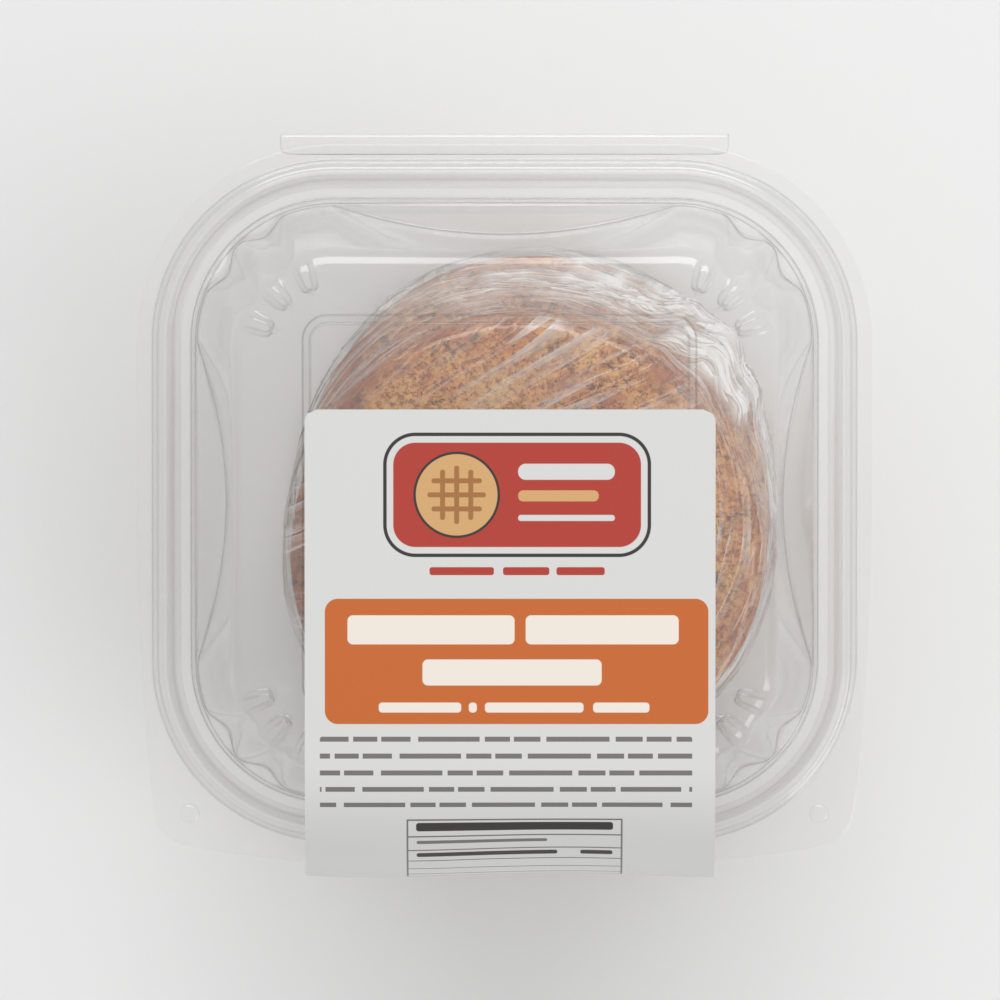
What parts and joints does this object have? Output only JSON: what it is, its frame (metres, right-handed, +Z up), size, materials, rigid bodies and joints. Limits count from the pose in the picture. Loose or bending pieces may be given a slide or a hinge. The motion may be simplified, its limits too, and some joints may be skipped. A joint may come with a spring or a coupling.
{
  "type": "clamshell pack of cookies",
  "caption": "Clear hinged clamshell with a fluted lid, a paper label folded over its front rim, and a film-wrapped stack of peanut butter cookies inside.",
  "frame": {"origin": "centre of the pack's bounding box at its base, where the tray stands", "axes": "+Z up through the lid, +Y towards the hinge, -Y towards the front rim that the label hangs over, +X to the right seen from the front"},
  "size_m": [0.147, 0.1484, 0.0762],
  "materials": {
    "clear_plastic": "clear thermoformed sheet, glossy on both faces",
    "film_plastic": "clear cling film, creased and slightly milky where it gathers",
    "label_paper": "smooth white label paper with an orange band",
    "cookie_crumb": "matte baked crumb, fine cracks and darker specks"
  },
  "bodies": {
    "tray_body": {"tray": "clear_plastic", "cookie_1": "cookie_crumb", "cookie_2": "cookie_crumb", "cookie_3": "cookie_crumb", "cookie_4": "cookie_crumb", "film_wrap": "film_plastic"},
    "lid_body": {"lid": "clear_plastic", "label": "label_paper"}
  },
  "joints": [
    {"name": "lid_hinge", "type": "hinge", "parent": "tray_body", "child": "lid_body", "pos_m": [0, 0.07435, 0.0436], "axis": [-1, 0, 0], "range_deg": [0, 180]}
  ]
}
